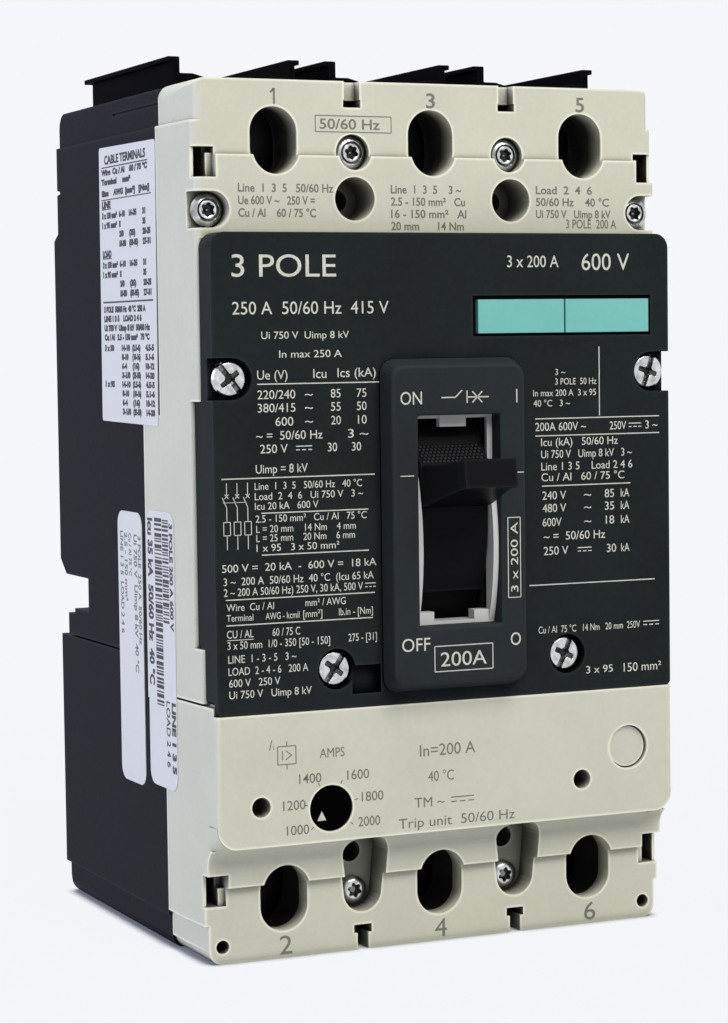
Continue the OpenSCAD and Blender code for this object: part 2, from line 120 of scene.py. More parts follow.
def make_camera():
    """A long lens to the left of the front, at two thirds of the breaker's height.

    yaw turns the view from +Y towards +X, pitch lifts it and roll turns it about itself; place
    is given in millimetres.
    """
    yaw, pitch, roll = (math.radians(a) for a in (24.3, -3.594, -0.764))
    place = np.array([-238.86, TERMINAL_Y - 494.01, 123.16]) * MM
    forward = np.array([math.sin(yaw) * math.cos(pitch), math.cos(yaw) * math.cos(pitch), math.sin(pitch)])
    right = np.array([math.cos(yaw), -math.sin(yaw), 0.0])
    up = np.cross(right, forward)
    turned_right = math.cos(roll) * right + math.sin(roll) * up
    turned_up = -math.sin(roll) * right + math.cos(roll) * up
    camera = bpy.data.objects.new("camera", bpy.data.cameras.new("camera"))
    bpy.context.scene.collection.objects.link(camera)
    turn = Matrix(np.column_stack([turned_right, turned_up, -forward]).tolist()).to_4x4()
    camera.matrix_world = Matrix.Translation(Vector(place.tolist())) @ turn
    camera.data.lens = 94.7
    camera.data.sensor_width = 36
    camera.data.clip_start = 0.01
    bpy.context.scene.camera = camera


def node(tree, kind, **inputs):
    """A new node whose sockets are set by name, from a value or from another node's output."""
    made = tree.nodes.new(kind)
    for name, value in inputs.items():
        socket = made.inputs[name.replace("_", " ")]
        if isinstance(value, bpy.types.NodeSocket):
            tree.links.new(value, socket)
        else:
            socket.default_value = value
    return made


def math_node(tree, operation, *values):
    """The output of a Math node whose inputs are values or other nodes' outputs."""
    made = tree.nodes.new("ShaderNodeMath")
    made.operation = operation
    for socket, value in zip(made.inputs, values):
        if isinstance(value, bpy.types.NodeSocket):
            tree.links.new(value, socket)
        else:
            socket.default_value = value
    return made.outputs[0]


def map_range(tree, value, old, new):
    """A value carried from one range to another and held inside it."""
    made = tree.nodes.new("ShaderNodeMapRange")
    tree.links.new(value, made.inputs["Value"])
    made.inputs["From Min"].default_value, made.inputs["From Max"].default_value = old
    made.inputs["To Min"].default_value, made.inputs["To Max"].default_value = new
    return made.outputs["Result"]


def product(tree, *factors):
    """The product of two values or outputs."""
    return math_node(tree, "MULTIPLY", *factors)


def mixed(tree, share, first, second):
    """Two shaders blended by a share of the second."""
    mix = tree.nodes.new("ShaderNodeMixShader")
    tree.links.new(share, mix.inputs[0])
    tree.links.new(first.outputs[0], mix.inputs[1])
    tree.links.new(second.outputs[0], mix.inputs[2])
    return mix.outputs[0]


def scaled_colour(tree, colour, factor):
    """A colour made lighter or darker by a factor that varies over the surface."""
    made = tree.nodes.new("ShaderNodeVectorMath")
    made.operation = "SCALE"
    made.inputs[0].default_value = colour
    tree.links.new(factor, made.inputs["Scale"])
    return made.outputs[0]


def area_light(name, place, aim, size, power, colour):
    """A soft square lamp at a place, turned to face a point."""
    light = bpy.data.objects.new(name, bpy.data.lights.new(name, "AREA"))
    light.data.shape = "SQUARE"
    light.data.size = size
    light.data.energy = power
    light.data.color = colour
    direction = Vector(aim) - Vector(place)
    light.location = place
    light.rotation_euler = direction.to_track_quat("-Z", "Y").to_euler()
    bpy.context.scene.collection.objects.link(light)


def seen_directly(tree):
    """One where a ray is a camera, glossy or transmission ray, which see the pale backdrop."""
    path = node(tree, "ShaderNodeLightPath").outputs
    either = math_node(tree, "MAXIMUM", path["Is Camera Ray"], path["Is Glossy Ray"])
    return math_node(tree, "MAXIMUM", either, path["Is Transmission Ray"])


def make_room():
    """A pale floor that keeps a faint shadow, a pale surround and three soft lamps.

    For direct rays the floor glows like the backdrop, with a small shaded share which grows
    towards the middle; next to the breaker, within 3 mm, the shaded share rises to the whole, and
    there its darker matte colour is a painted contact shadow as well as real shade.
    """
    world = bpy.data.worlds.new("studio")
    world.use_nodes = True
    bpy.context.scene.world = world
    tree = world.node_tree
    tree.nodes.clear()
    lighting = node(tree, "ShaderNodeBackground", Color=SKY, Strength=0.16)
    backdrop = node(tree, "ShaderNodeBackground", Color=BACKDROP, Strength=1.0)
    node(tree, "ShaderNodeOutputWorld", Surface=mixed(tree, seen_directly(tree), lighting, backdrop))

    half = 3.0
    corners = [(-half, -half, 0), (half, -half, 0), (half, half, 0), (-half, half, 0)]
    mesh = bpy.data.meshes.new("floor")
    mesh.from_pydata(corners, [], [(0, 1, 2, 3)])
    floor = bpy.data.objects.new("floor", mesh)
    bpy.context.scene.collection.objects.link(floor)
    material = bpy.data.materials.new("pale_floor")
    material.use_nodes = True
    tree = material.node_tree
    tree.nodes.clear()
    glow = node(tree, "ShaderNodeEmission", Color=BACKDROP, Strength=1.0)
    place = node(tree, "ShaderNodeTexCoord").outputs["Object"]
    away = tree.nodes.new("ShaderNodeVectorMath")
    away.operation = "LENGTH"
    tree.links.new(place, away.inputs[0])
    share = map_range(tree, away.outputs["Value"], (0.12, 0.6), (0.96, 1.0))
    # painted contact shadow: within 3 mm of the breaker the floor turns to its darker matte, which also
    # shows real shade
    near = node(tree, "ShaderNodeAmbientOcclusion", Distance=3 * MM)
    share = product(tree, share, map_range(tree, near.outputs["AO"], (0.5, 0.92), (0.0, 1.0)))
    matte = node(tree, "ShaderNodeBsdfDiffuse", Color=FLOOR_GREY)
    node(tree, "ShaderNodeOutputMaterial",
         Surface=mixed(tree, product(tree, seen_directly(tree), share), matte, glow))
    mesh.materials.append(material)

    middle = (0.0, 0.0, 0.09)
    area_light("key", (0.15, -0.92, 1.02), (0.0, 0.0, 0.11), 0.7, 15.1, (1.0, 0.985, 0.94))
    area_light("left_fill", (-1.2, 0.2, 0.55), middle, 0.7, 10.4, (0.80, 0.87, 1.10))
    area_light("top", (-0.1, 0.1, 1.3), middle, 0.8, 6.0, (1.0, 1.0, 1.0))


# ---- finishes ----

def edge_mask(tree, width):
    """One on sharp outward edges, nought elsewhere: there the solid under the surface is thin."""
    inner = node(tree, "ShaderNodeAmbientOcclusion", Distance=width * MM)
    inner.inside = True
    inner.only_local = True
    inner.samples = 4
    return map_range(tree, inner.outputs["AO"], (0.93, 0.6), (0.0, 1.0))


def recess_mask(tree, reach, own_only=False):
    """One on open faces, falling towards nought deep in holes, slots and corners."""
    open_share = node(tree, "ShaderNodeAmbientOcclusion", Distance=reach * MM)
    open_share.samples = 6
    open_share.only_local = own_only
    return open_share.outputs["AO"]


def tunnel_shade_mask(tree, place):
    """One outside, near nought behind the rims of the six oval holes and in the toggle's well: painted
    shade in them.

    The distance across from the nearest pole is |mod(x + 3/2 spacing, spacing) - spacing/2|;
    the holes lie within OVAL_HALF of the poles and of the two rows of terminals, and the dark
    grows from rim to deep millimetres behind the terminals' face.
    """
    most, rim, deep = 0.93, 1.0, 5.5
    parts = tree.nodes.new("ShaderNodeSeparateXYZ")
    tree.links.new(place, parts.inputs[0])
    x, y, z = (parts.outputs[axis] for axis in "XYZ")
    spacing = POLE_SPACING * MM
    across = math_node(tree, "MODULO", math_node(tree, "ADD", x, 1.5 * spacing), spacing)
    across = math_node(tree, "ABSOLUTE", math_node(tree, "SUBTRACT", across, spacing / 2))
    inside = math_node(tree, "LESS_THAN", across, OVAL_HALF[0] * MM)
    rows = [math_node(tree, "COMPARE", z, middle * MM, OVAL_HALF[1] * MM) for middle in OVAL_ROWS_Z]
    inside = product(tree, inside, math_node(tree, "ADD", *rows))
    fade = map_range(tree, y, ((TERMINAL_Y + rim) * MM, (TERMINAL_Y + deep) * MM), (0.0, most))
    well = product(tree, math_node(tree, "COMPARE", x, 0.0, WELL_HALF[0] * MM),
                   math_node(tree, "COMPARE", z, WELL_MIDDLE_Z * MM, WELL_HALF[1] * MM))
    dark = math_node(tree, "MAXIMUM", product(tree, inside, fade), product(tree, well, most))
    return math_node(tree, "SUBTRACT", 1.0, dark)


def new_material(name):
    """A node material with its tree, its surface shader and the object's own coordinates."""
    material = bpy.data.materials.new(name)
    material.use_nodes = True
    tree = material.node_tree
    return material, tree, tree.nodes["Principled BSDF"], node(tree, "ShaderNodeTexCoord").outputs["Object"]


def cloud(tree, place, scale, detail, roughness):
    """Smooth noise from about 0.3 to 0.7, with a scale in waves a metre."""
    made = node(tree, "ShaderNodeTexNoise", Vector=place, Scale=scale, Detail=detail, Roughness=roughness)
    return made.outputs["Fac"]


def plastic(name, colour, roughness, grain, depth, mottle, gloss=0.5, edge_highlight=0.0, recess_shade=0.0,
            hollows=(0.1, 0.65), tunnel_shade=False):
    """Moulded plastic: a fine grain, faint mottling of colour, an uneven sheen, edges painted lighter as
    highlights and holes painted darker as shade.

    grain is the size of the grain in millimetres, depth its height, mottle the share by which
    the colour varies, gloss the specular level, rub how much lighter the edges are painted as a
    highlight, dust how much darker the holes and slots are painted as shade and hollows the open
    shares between which that fades. Where there is dust, gaps less than 3 mm wide are painted
    nearly black as shade. tunnels paints shade in the oval holes behind their rims and in the
    toggle's well.
    """
    material, tree, shader, place = new_material(name)
    shader.inputs["IOR"].default_value = 1.48
    shader.inputs["Specular IOR Level"].default_value = gloss
    fine = cloud(tree, place, 1 / (grain * MM), 3.0, 0.6)
    broad = cloud(tree, place, 60.0, 4.0, 0.55)
    speck = cloud(tree, place, 900.0, 2.0, 0.5)
    blend = math_node(tree, "MULTIPLY_ADD", speck, 0.5, broad)
    shade = map_range(tree, blend, (0.45, 1.05), (1 - mottle, 1 + mottle))
    if edge_highlight:
        # painted highlight: sharp outward edges are made lighter, standing in for the light they catch
        shade = math_node(tree, "MULTIPLY_ADD", edge_mask(tree, 0.65), edge_highlight, shade)
    # painted shade: holes, slots and corners are made darker, and gaps less than 3 mm wide nearly black
    if recess_shade:
        deep_shade = map_range(tree, recess_mask(tree, 12.0, own_only=True), hollows, (1 - recess_shade, 1.0))
        gap_shade = map_range(tree, recess_mask(tree, 3.0), (0.25, 0.75), (0.04, 1.0))
        shade = product(tree, product(tree, shade, deep_shade), gap_shade)
    if tunnel_shade:
        # painted shade in the oval holes behind their rims and in the toggle's well
        shade = product(tree, shade, tunnel_shade_mask(tree, place))
    tree.links.new(scaled_colour(tree, colour, shade), shader.inputs["Base Color"])
    sheen = map_range(tree, broad, (0.3, 0.7), (roughness - 0.05, roughness + 0.05))
    tree.links.new(sheen, shader.inputs["Roughness"])
    bump = node(tree, "ShaderNodeBump", Strength=0.6, Distance=depth * MM, Height=fine)
    tree.links.new(bump.outputs["Normal"], shader.inputs["Normal"])
    return material


def metal(name, colour, roughness, depth, recess_shade=0.0, stain_and_reflection=0.12):
    """Plated steel or tinned metal: cloudy stains, an uneven sheen and faint waviness, with painted shade
    in hollows.

    depth is the height of the waves in millimetres, stain how much darker the stains are, real
    stains and, where it is large, a painted mottled reflection, and dust how much darker the metal
    is painted deep in holes, as shade; where the attribute "hollow" is one, it is painted nearly
    black, as shade.
    """
    material, tree, shader, place = new_material(name)
    shader.inputs["Metallic"].default_value = 1.0
    cloudy = cloud(tree, place, 700.0, 4.0, 0.6)
    shade = map_range(tree, cloudy, (0.3, 0.7), (1 - stain_and_reflection, 1.08))
    # painted shade: where this point attribute is one, the metal is made nearly black
    painted_shade = node(tree, "ShaderNodeAttribute")
    painted_shade.attribute_name = "painted_shade"
    shade = product(tree, shade, map_range(tree, painted_shade.outputs["Fac"], (0.0, 1.0), (1.0, 0.02)))
    # painted shade: the metal is made darker deep in holes
    if recess_shade:
        deep_shade = map_range(tree, recess_mask(tree, 12.0), (0.3, 1.0), (1 - recess_shade, 1.0))
        shade = product(tree, shade, deep_shade)
    tree.links.new(scaled_colour(tree, colour, shade), shader.inputs["Base Color"])
    sheen = map_range(tree, cloudy, (0.3, 0.7), (roughness - 0.05, roughness + 0.08))
    tree.links.new(sheen, shader.inputs["Roughness"])
    bump = node(tree, "ShaderNodeBump", Strength=0.5, Distance=depth * MM, Height=cloudy)
    tree.links.new(bump.outputs["Normal"], shader.inputs["Normal"])
    return material


def printed(name, colour):
    """Pad printed ink: matte, with tiny thin spots."""
    material, tree, shader, place = new_material(name)
    shader.inputs["Roughness"].default_value = 0.6
    shade = map_range(tree, cloud(tree, place, 2500.0, 2.0, 0.6), (0.25, 0.75), (0.82, 1.08))
    tree.links.new(scaled_colour(tree, colour, shade), shader.inputs["Base Color"])
    return material


FINISHES = {
    "base_plastic": plastic("base_plastic", BASE_GREY, 0.5, 0.35, 0.03, 0.3, gloss=0.015, edge_highlight=0.9),
    "light_plastic": plastic("light_plastic", LIGHT_PLASTIC, 0.55, 0.3, 0.03, 0.055, edge_highlight=0.5,
                             recess_shade=0.97, tunnel_shade=True),
    "web": plastic("web_plastic", LIGHT_PLASTIC, 0.55, 0.3, 0.03, 0.055),
    "cover_plastic": plastic("cover_plastic", COVER_BLACK, 0.45, 0.25, 0.02, 0.2, gloss=0.02,
                             edge_highlight=0.5, recess_shade=0.95, hollows=(0.4, 0.95)),
    "bezel": plastic("bezel_plastic_with_sheen", BEZEL_BLACK_WITH_SHEEN, 0.45, 0.25, 0.02, 0.12, gloss=0.03, edge_highlight=0.6),
    "guide_plastic": plastic("guide_plastic", GUIDE_GREY, 0.4, 0.3, 0.01, 0.03),
    "handle_plastic": plastic("handle_plastic", HANDLE_BLACK, 0.4, 0.25, 0.015, 0.1, gloss=0.04, edge_highlight=1.2),
    "knurl": plastic("knurl_plastic", KNURL_BLACK, 0.4, 0.25, 0.015, 0.1, gloss=0.3),
    "strip_plastic": plastic("strip_plastic", STRIP_TEAL, 0.5, 0.3, 0.012, 0.04),
    "dial_plastic": plastic("dial_plastic", DIAL_BLACK, 0.4, 0.3, 0.01, 0.05, gloss=0.003),
    # the zinc's strong cloudy mottle is a painted reflection, beyond real stains
    "zinc_steel": metal("zinc_steel", ZINC, 0.2, 0.03, stain_and_reflection=0.45),
    "lug_metal": metal("lug_metal", LUG_METAL_IN_SHADE, 0.42, 0.03, recess_shade=0.97),
    "clamp_steel": metal("clamp_steel", CLAMP_GREY_IN_SHADE, 0.4, 0.03, recess_shade=0.95),
    "shield_plastic": plastic("shield_plastic", SHIELD_BLACK, 0.5, 0.3, 0.02, 0.1, gloss=0.003, edge_highlight=0.8),
    "label_paper": plastic("label_paper", LABEL_WHITE, 0.4, 0.5, 0.004, 0.02),
}
WHITE_INK = printed("white_ink", PRINT_WHITE)
GREY_INK = printed("grey_ink", PRINT_GREY)
BLACK_INK = printed("black_ink", INK)


# ---- making pieces ----

def mesh_piece(name, points, faces, material, body, smooth=None, painted_shade=None):
    """A piece from arrays of points in millimetres and faces, riding on a body.

    smooth is the angle up to which its edges are shaded round; hollow is a value for each point,
    how dark the metal is painted there as shade.
    """
    mesh = bpy.data.meshes.new(name)
    mesh.from_pydata((np.asarray(points) * MM).tolist(), [], [list(f) for f in faces])
    mesh.materials.append(material)
    if smooth is not None:
        mesh.polygons.foreach_set("use_smooth", np.full(len(mesh.polygons), True))
        mesh.set_sharp_from_angle(angle=math.radians(smooth))
    if painted_shade is not None:
        mesh.attributes.new("painted_shade", "FLOAT", "POINT").data.foreach_set("value", painted_shade.ravel())
    piece = bpy.data.objects.new(name, mesh)
    bpy.context.scene.collection.objects.link(piece)
    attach(piece, body)
    return piece


def ring_faces(rings, spokes):
    """Quads between the points of rings, one ring after another, each joined round to its start."""
    ring, spoke = np.meshgrid(np.arange(rings - 1), np.arange(spokes), indexing="ij")
    ahead = (spoke + 1) % spokes
    quads = np.stack([ring * spokes + spoke, ring * spokes + ahead,
                      (ring + 1) * spokes + ahead, (ring + 1) * spokes + spoke], axis=-1)
    return quads.reshape(-1, 4)


def joined(parts):
    """Several arrays of points and faces as one."""
    points, faces, start = [], [], 0
    for part_points, part_faces in parts:
        points.append(part_points)
        faces += [tuple(int(i) + start for i in face) for face in part_faces]
        start += len(part_points)
    return np.vstack(points), faces


def soft_step(inside, soft):
    """Nought outside and one inside, with an even slope of the given width between them."""
    return np.clip(inside / soft + 0.5, 0, 1)


def combination_head(across, along, radius):
    """Slot from edge to edge with a cross of half its length, a deep middle and a bevelled rim.

    Returns the depth below the front and how dark the head is painted there, as shade in the slot,
    the cross and the deep middle. The crown falls by 0.25 (r / radius)^2 and, over the bevel, by
    0.5 t^2 more; the cross grows shallower outwards.
    """
    half_slot, half_arm, arm_end, core, bevel = 0.50, 0.46, 2.15, 0.95, 0.55
    r = np.hypot(across, along)
    near = np.minimum(np.abs(across), np.abs(along))
    reach = np.maximum(np.abs(across), np.abs(along))
    slot = soft_step(half_slot - np.abs(along), 0.14)
    cross = soft_step(half_arm - near, 0.14) * soft_step(arm_end - reach, 0.3)
    middle = soft_step(core - r, 0.3)
    crown = 0.25 * (r / radius) ** 2 + 0.5 * np.clip((r - radius + bevel) / bevel, 0, 1) ** 2
    arms = 1.2 * cross * np.clip(1.2 - reach / 2.6, 0, 1)
    depth = crown + np.maximum.reduce([0.8 * slot, arms, 1.3 * middle])
    dark = np.maximum.reduce([0.72 * slot, 0.9 * cross, 0.97 * middle])
    return depth, dark


def ringed_head(across, along, radius):
    """A bright domed band, a thin groove painted dark as shade and a raised ring round a star shaped socket
    painted dark as shade.

    The groove lies at 0.62 of the radius and is 0.19 + 0.1 cos(a - 0.4) to each side; the
    socket's outline is 0.37 radius + 0.17 cos(6 a) + 0.06 cos(4 a).
    """
    groove_r, ring_r, ring_half = 0.62 * radius, 0.5 * radius, 0.12 * radius
    r = np.hypot(across, along)
    around = np.arctan2(along, across)
    groove = soft_step(0.19 + 0.1 * np.cos(around - 0.4) - np.abs(r - groove_r), 0.1)
    band = soft_step(r - 0.64 * radius, 0.12)
    outline = 0.37 * radius + 0.17 * np.cos(6 * around) + 0.06 * np.cos(4 * around)
    socket = soft_step(outline - r, 0.12)
    pip = soft_step(0.34 - r, 0.2)
    depth = band * (0.1 + 0.75 * ((r - groove_r) / (radius - groove_r)).clip(0, 1) ** 2)
    ring = 0.12 * (1 - ((r - ring_r) / ring_half) ** 2).clip(0, 1)
    depth = np.maximum(depth, 0.6 * groove) - ring + 1.2 * socket - 0.45 * pip
    # the band is painted slightly darker as a dark reflection, more so in three patches round it
    band_patches = 0.30 * band * (0.5 + 0.5 * np.cos(3 * around + 1.1)) ** 2
    dark = np.maximum.reduce([0.85 * groove, 0.08 * band + band_patches, (0.96 - 0.35 * pip) * socket])
    return depth, dark


def six_lobe_head(across, along, radius):
    """A round band painted duller as a dark reflection, a bright rim and a socket painted dark as shade,
    with the outline 1.28 + 0.22 cos(6 a).
    """
    rim, band_r = 1.5, 1.85
    r = np.hypot(across, along)
    socket = soft_step(1.28 + 0.22 * np.cos(6 * np.arctan2(along, across)) - r, 0.12)
    floor = soft_step(0.7 - r, 0.3)
    band = soft_step(r - band_r, 0.2)
    depth = 0.65 * ((r - rim) / (radius - rim)).clip(0, 1) ** 2 + 1.1 * socket - 0.15 * floor
    dark = np.maximum(0.35 * band, (0.96 - 0.3 * floor) * socket)
    return depth, dark


def screw(name, radius, height, head, turn):
    """A round headed screw in the place of a CAD screw.

    On a grid of rings and spokes, the depth of the front and how dark it is come from the head's
    shape at each point, turned by an angle; the rim, the underside, the shank and its tip follow
    as rings. pole is the radius of the smallest ring, which a flat face closes.
    """
    spokes, pole, shank, tip = 144, 0.02, 1.65, 1.2
    corner, far = low(name), high(name)
    x, z = (corner[0] + far[0]) / 2, (corner[2] + far[2]) / 2
    front = corner[1]
    rings = np.concatenate([[pole], np.linspace(0.07, radius - 0.10, 48), [radius - 0.04, radius]])
    angle = np.linspace(0, 2 * math.pi, spokes, endpoint=False)
    ring, around = np.meshgrid(rings, angle, indexing="ij")
    depth, dark = head(ring * np.cos(around + turn), ring * np.sin(around + turn), radius)
    back = far[1] - front
    for r, y in ((radius, height), (shank, height), (shank, back - 0.4), (tip, back), (pole, back)):
        ring = np.vstack([ring, np.full(spokes, r)])
        depth = np.vstack([depth, np.full(spokes, y)])
        # the side of the head and the shank are painted half dark, as shade
        dark = np.vstack([dark, np.full(spokes, 0.5)])
    around = np.tile(angle, (len(ring), 1))
    points = np.stack([x + ring * np.cos(around), front + depth, z + ring * np.sin(around)], axis=-1)
    faces = ring_faces(len(ring), spokes).tolist()
    faces.append(list(range(spokes))[::-1])
    faces.append([(len(ring) - 1) * spokes + i for i in range(spokes)])
    piece = mesh_piece(name + "_detailed", points.reshape(-1, 3), faces, FINISHES["zinc_steel"],
                       "breaker", smooth=35, painted_shade=dark)
    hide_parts(name)


# ---- print ----

LETTERS = {}


def letters(words, weight):
    """Words as arrays of points and faces: one unit thick, their outline moved out by weight."""
    if (words, weight) not in LETTERS:
        curve = bpy.data.curves.new("words", "FONT")
        curve.body = words
        curve.resolution_u = 4
        curve.extrude = 0.5
        curve.offset = weight
        shape = bpy.data.objects.new("words", curve)
        mesh = bpy.data.meshes.new_from_object(shape)
        points = np.empty(len(mesh.vertices) * 3)
        mesh.vertices.foreach_get("co", points)
        faces = [tuple(p.vertices) for p in mesh.polygons]
        LETTERS[(words, weight)] = (points.reshape(-1, 3), faces)
        bpy.data.objects.remove(shape)
        bpy.data.curves.remove(curve)
        bpy.data.meshes.remove(mesh)
    return LETTERS[(words, weight)]


CAP_HEIGHT = 0.73
NARROW = 0.82
PROUD = 0.03


def line_of(words, left, foot, height, right=None, weight=0.0):
    """Words on a line: their capitals' height, their left edge and, where given, their right edge.

    Without a right edge the letters have NARROW times their own width.
    """
    points, faces = letters(words, weight)
    scale = height / CAP_HEIGHT
    start, end = points[:, 0].min(), points[:, 0].max()
    stretch = scale * NARROW if right is None else (right - left) / (end - start)
    across = left + (points[:, 0] - start) * stretch
    return np.column_stack([across, foot + points[:, 1] * scale, points[:, 2]]), faces


def stroke(start, end, width):
    """A straight printed line between two points."""
    start, end = np.array(start, float), np.array(end, float)
    along = (end - start) / np.linalg.norm(end - start)
    side = np.array([-along[1], along[0]]) * width / 2
    corners = np.array([start - side, end - side, end + side, start + side])
    points = np.vstack([np.column_stack([corners, np.full(4, z)]) for z in (-0.5, 0.5)])
    faces = [(3, 2, 1, 0), (4, 5, 6, 7)] + [(i, (i + 1) % 4, (i + 1) % 4 + 4, i + 4) for i in range(4)]
    return points, faces


def path(points, width, closed=False):
    """A printed line through several points."""
    ends = list(points[1:]) + ([points[0]] if closed else [])
    return [stroke(a, b, width) for a, b in zip(points, ends)]


def print_on_front(name, parts, y, material, body="breaker"):
    """Print that stands PROUD of a face which looks to -Y; x and z as drawn."""
    flat, faces = joined(parts)
    points = np.column_stack([flat[:, 0], y - PROUD * (0.5 + flat[:, 2]), flat[:, 1]])
    return mesh_piece(name, points, faces, material, body)


def print_on_left(name, parts, x, material):
    """Print that stands PROUD of a face which looks to -X; drawn to the right is -Y."""
    flat, faces = joined(parts)
    points = np.column_stack([x - PROUD * (0.5 + flat[:, 2]), -flat[:, 0], flat[:, 1]])
    return mesh_piece(name, points, faces, material, "breaker")


def box_of(low_corner, high_corner, width):
    """A printed rectangle."""
    (left, foot), (right, head) = low_corner, high_corner
    return path([(left, foot), (right, foot), (right, head), (left, head)], width, True)


def turned_right(parts, left, top):
    """Parts drawn along a line that runs down, with the letters' heads to the right."""
    return [(np.column_stack([left + p[:, 1], top - p[:, 0], p[:, 2]]), f) for p, f in parts]


def turned_left(parts, right, foot):
    """Parts drawn along a line that runs up, with the letters' heads to the left."""
    return [(np.column_stack([right - p[:, 1], foot + p[:, 0], p[:, 2]]), f) for p, f in parts]


def direct_current(left, right, foot):
    """The sign for direct current: a line over three dashes."""
    dash = (right - left) / 4.2
    return [stroke((left, foot + 1.2), (right, foot + 1.2), 0.2)] + [
        stroke((x, foot + 0.5), (x + dash, foot + 0.5), 0.2) for x in np.linspace(left, right - dash, 3)]


def make_cover_print():
    """Plain ratings, terminal data and a wiring symbol, in the layout of a breaker's nameplate.

    A row of words has its left edge, foot, height and right edge.
    """
    thin, rule = 0.16, 0.22
    words = (("3 POLE", -46.6, 136.2, 4.6, -24.5), ("250 A  50/60 Hz  415 V", -46.6, 128.9, 2.6, -13.2),
             ("Ui 750 V  Uimp 8 kV", -40.6, 124.1, 1.5, -21.9), ("In max 250 A", -36.9, 120.4, 1.5, -23.5),
             ("Ue (V)", -41.6, 116.2, 1.9, -35.2), ("Icu", -29.7, 116.3, 1.9, -26.9),
             ("Ics (kA)", -24.5, 116.4, 1.9, -16.2), ("220/240", -41.6, 112.4, 1.8, -33.6),
             ("~", -31.6, 112.4, 1.8, -29.9), ("85", -26.0, 112.4, 1.8, -23.9),
             ("75", -20.4, 112.4, 1.8, -18.3), ("380/415", -41.6, 109.8, 1.8, -33.6),
             ("~", -31.6, 109.8, 1.8, -29.9), ("55", -26.0, 109.8, 1.8, -23.9),
             ("50", -20.4, 109.8, 1.8, -18.3), ("600", -37.9, 107.1, 1.8, -34.1),
             ("~", -31.6, 107.1, 1.8, -29.9), ("20", -26.0, 107.1, 1.8, -23.9),
             ("10", -20.2, 107.1, 1.8, -18.3), ("~ =  50/60 Hz", -42.0, 104.4, 1.8, -27.9),
             ("3 ~", -22.4, 104.4, 1.8, -18.0), ("250 V", -41.2, 101.8, 1.8, -35.4),
             ("30", -26.8, 101.8, 1.8, -24.8), ("30", -21.6, 101.8, 1.8, -19.6),
             ("Uimp = 8 kV", -42.2, 97.9, 1.8, -31.2),
             ("Line  1  3  5   50/60 Hz   40 °C", -42.5, 94.7, 1.5, -19.5),
             ("Load  2  4  6   Ui 750 V   3 ~", -42.5, 92.7, 1.5, -19.3),
             ("Icu 20 kA   600 V", -42.5, 90.8, 1.5, -29.0),
             ("2.5 - 150 mm²   Cu / Al   75 °C", -42.4, 88.3, 1.5, -18.6),
             ("L = 20 mm    14 Nm    4 mm", -42.3, 86.3, 1.5, -21.0),
             ("L = 25 mm    20 Nm    6 mm", -42.3, 84.5, 1.5, -21.2),
             ("1 x 95   3 x 50 mm²", -42.3, 82.6, 1.5, -24.6),
             ("500 V =  20 kA  -  600 V =  18 kA", -49.6, 78.8, 1.6, -16.6),
             ("3 ~  200 A  50/60 Hz  40 °C  (Icu 65 kA", -49.3, 76.2, 1.6, -17.2),
             ("2 ~ 200 A 50/60 Hz) 250 V, 30 kA, 500 V", -49.3, 74.1, 1.6, -19.6),
             ("Wire  Cu / Al", -48.8, 71.2, 1.5, -38.8), ("mm² / AWG", -32.1, 71.4, 1.5, -23.4),
             ("Terminal", -48.8, 69.2, 1.4, -43.2), ("AWG - kcmil", -40.6, 69.2, 1.4, -33.4),
             ("[mm²]", -32.6, 69.2, 1.5, -28.5), ("lb.in - [Nm]", -24.9, 69.2, 1.5, -17.5),
             ("CU / AL", -48.8, 65.9, 1.6, -43.2), ("60 / 75 C", -39.2, 65.9, 1.6, -33.3),
             ("3 x 50 mm  1/0 - 350 [50 - 150]", -48.7, 63.7, 1.6, -26.9),
             ("275 - [31]", -22.9, 63.9, 1.6, -16.7), ("LINE  1 - 3 - 5   3 ~", -48.6, 61.0, 1.6, -34.2),
             ("LOAD  2 - 4 - 6   200 A", -48.6, 58.6, 1.6, -31.7),
             ("600 V   250 V", -48.5, 56.3, 1.6, -37.7), ("Ui 750 V   Uimp 8 kV", -48.5, 54.0, 1.6, -31.0))
    left = [line_of(*row) for row in words]
    left += direct_current(-33.6, -30.2, 101.8) + direct_current(-19.1, -16.8, 74.1)
    left += [stroke((x, z), (end, z), rule) for x, end, z in (
        (-41.6, -15.5, 115.3), (-49.4, -16.7, 97.0), (-41.2, -18.2, 90.1), (-41.2, -18.2, 81.9),
        (-48.9, -17.0, 73.4), (-48.9, -17.5, 68.4))]
    left.append(stroke((-48.8, 65.5), (-43.2, 65.5), 0.14))
    for x in (-48.4, -46.2, -44.0):
        left += [stroke((x, 96.2), (x, 93.6), thin), stroke((x, 91.4), (x - 0.9, 93.4), thin),
                 stroke((x, 91.4), (x, 88.6), thin), stroke((x, 86.0), (x, 83.2), thin)]
        left += box_of((x - 0.7, 88.6), (x + 0.7, 86.0), thin)
        left += [stroke((x - 0.4, 93.2), (x + 0.4, 94.0), thin),
                 stroke((x - 0.4, 94.0), (x + 0.4, 93.2), thin)]
    left.append(stroke((-49.2, 92.4), (-44.2, 92.4), 0.1))
    print_on_front("cover_print_left", left, COVER_Y, WHITE_INK)

